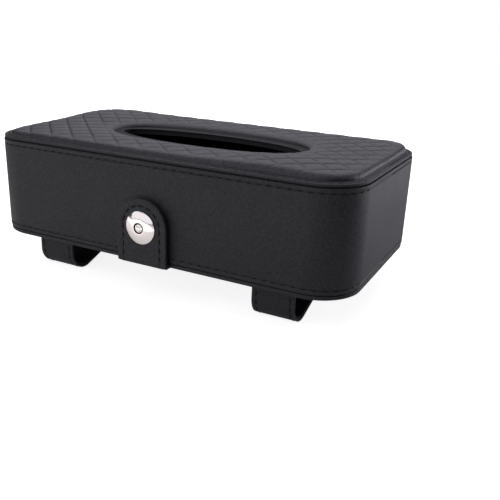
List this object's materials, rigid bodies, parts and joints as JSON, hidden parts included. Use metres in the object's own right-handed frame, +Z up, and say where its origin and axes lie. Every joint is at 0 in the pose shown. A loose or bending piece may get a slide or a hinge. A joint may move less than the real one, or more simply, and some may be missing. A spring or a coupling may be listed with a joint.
{
  "type": "car tissue holder",
  "caption": "Rounded leatherette tissue box with a quilted padded top, an oval slot, a bottom panel that opens, a snap tongue and two strap loops.",
  "frame": {"origin": "middle of the bottom panel's underside", "axes": "+X along the box, +Y towards the hinged back, +Z up through the slot; the snap tongue is on the -Y side"},
  "size_m": [0.24, 0.143, 0.0872],
  "materials": {
    "leatherette": "embossed grain, semi-matt, dark charcoal",
    "quilted_leatherette": "fine cross grain, semi-matt, quilted in diamonds",
    "board": "pressed fibreboard",
    "foam": "open foam",
    "lining": "black nonwoven felt",
    "hook_and_loop": "hook and loop pile",
    "nickel": "polished nickel plate",
    "steel": "zinc-plated sheet",
    "magnet": "sintered ferrite"
  },
  "bodies": {
    "base": {"base_cover": "leatherette", "base_board": "board", "base_lining": "lining", "strap_patch_left": "hook_and_loop", "strap_patch_right": "hook_and_loop", "strap_sewn_end_left": "leatherette", "strap_sewn_end_right": "leatherette"},
    "box": {"wall_board": "board", "wall_cover": "leatherette", "wall_lining": "lining", "top_board": "board", "top_foam": "foam", "quilted_top": "quilted_leatherette", "top_binding": "leatherette", "slot_facing": "leatherette", "top_lining": "lining", "hinge_strip": "leatherette", "socket_case": "nickel", "socket_magnet": "magnet", "socket_clip": "steel", "socket_washer": "steel"},
    "tongue": {"tongue_backing": "leatherette", "tongue_core": "board", "tongue_face": "leatherette", "snap_stud": "nickel", "snap_cap": "nickel", "snap_rivet": "nickel"},
    "strap_left": {"strap_left": "leatherette", "strap_lining_left": "lining", "strap_hook_left": "hook_and_loop"},
    "strap_right": {"strap_right": "leatherette", "strap_lining_right": "lining", "strap_hook_right": "hook_and_loop"}
  },
  "joints": [
    {"name": "base_hinge", "type": "hinge", "parent": "base", "child": "box", "pos_m": [0, 0.068, 0.00255], "axis": [-1, 0, 0], "range_deg": [0, 100]},
    {"name": "tongue_hinge", "type": "hinge", "parent": "base", "child": "tongue", "pos_m": [0, -0.0711, 0.001], "axis": [1, 0, 0], "range_deg": [0, 150]},
    {"name": "strap_left_hinge", "type": "hinge", "parent": "base", "child": "strap_left", "pos_m": [-0.0765, -0.057, -0.0016], "axis": [-1, 0, 0], "range_deg": [0, 75]},
    {"name": "strap_right_hinge", "type": "hinge", "parent": "base", "child": "strap_right", "pos_m": [0.0765, -0.057, -0.0016], "axis": [-1, 0, 0], "range_deg": [0, 75]}
  ]
}
